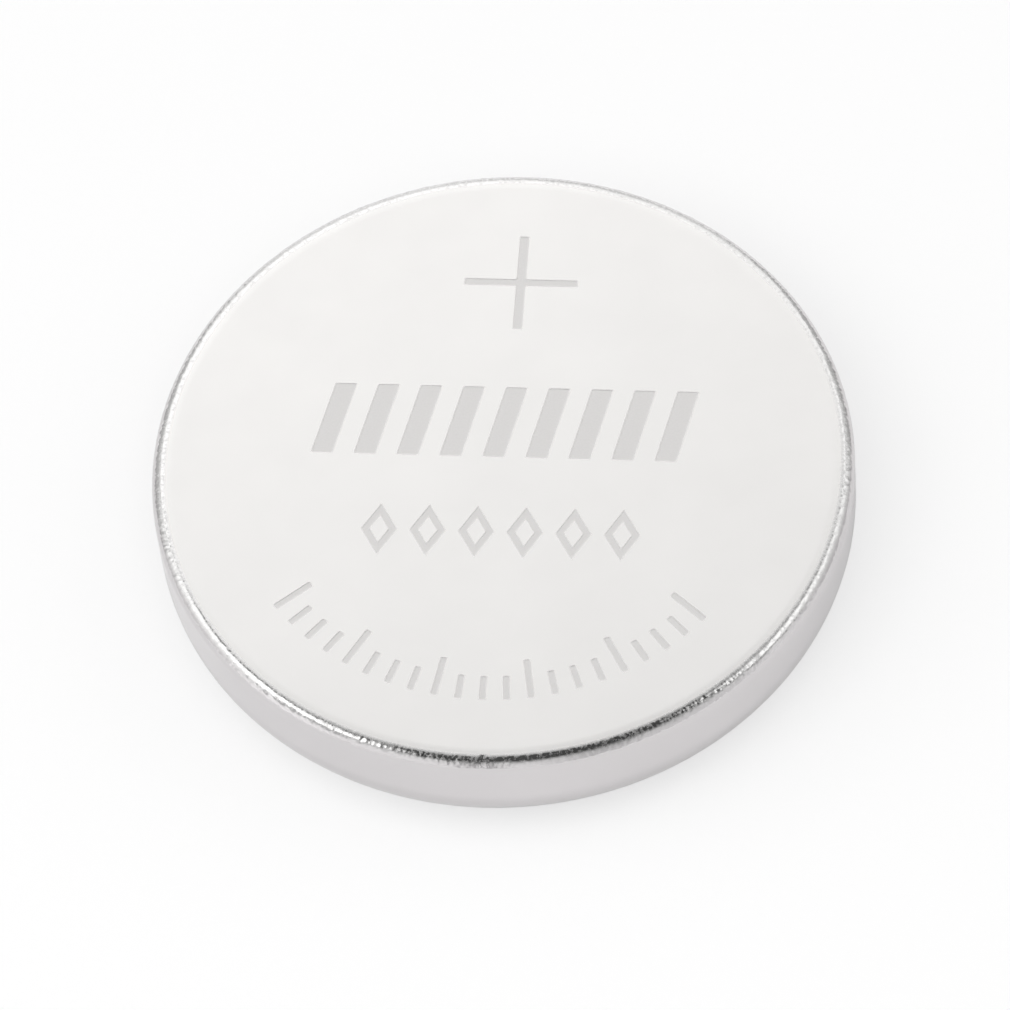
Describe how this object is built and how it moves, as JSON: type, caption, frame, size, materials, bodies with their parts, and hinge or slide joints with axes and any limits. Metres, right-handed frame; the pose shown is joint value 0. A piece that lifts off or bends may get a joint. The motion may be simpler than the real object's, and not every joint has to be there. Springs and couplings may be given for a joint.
{
  "type": "lithium coin cell",
  "caption": "Flat round sealed cell: a drawn metal can crimped over a gasket onto a stepped cap, holding a lithium disc, separator, pellet and grid.",
  "frame": {"origin": "centre of the negative contact, on the plane on which the cell stands", "axes": "+Z along the axis of the cell, out of the positive face; +Y towards the top of the polarity mark on that face"},
  "size_m": [0.016, 0.016, 0.0032],
  "materials": {
    "can_nickel": "satin face, bright shoulder and side",
    "gasket_plastic": "matt, moulded",
    "cap_steel": "satin",
    "lithium_foil": "dull rolled foil",
    "separator_fleece": "non-woven fleece",
    "pellet_oxide": "pressed powder, matt",
    "grid_steel": "rolled flat"
  },
  "bodies": {
    "root": {"positive_can": "can_nickel", "sealing_gasket": "gasket_plastic", "negative_cap": "cap_steel", "lithium_disc": "lithium_foil", "separator": "separator_fleece", "cathode_pellet": "pellet_oxide", "collector_grid": "grid_steel"}
  },
  "joints": []
}
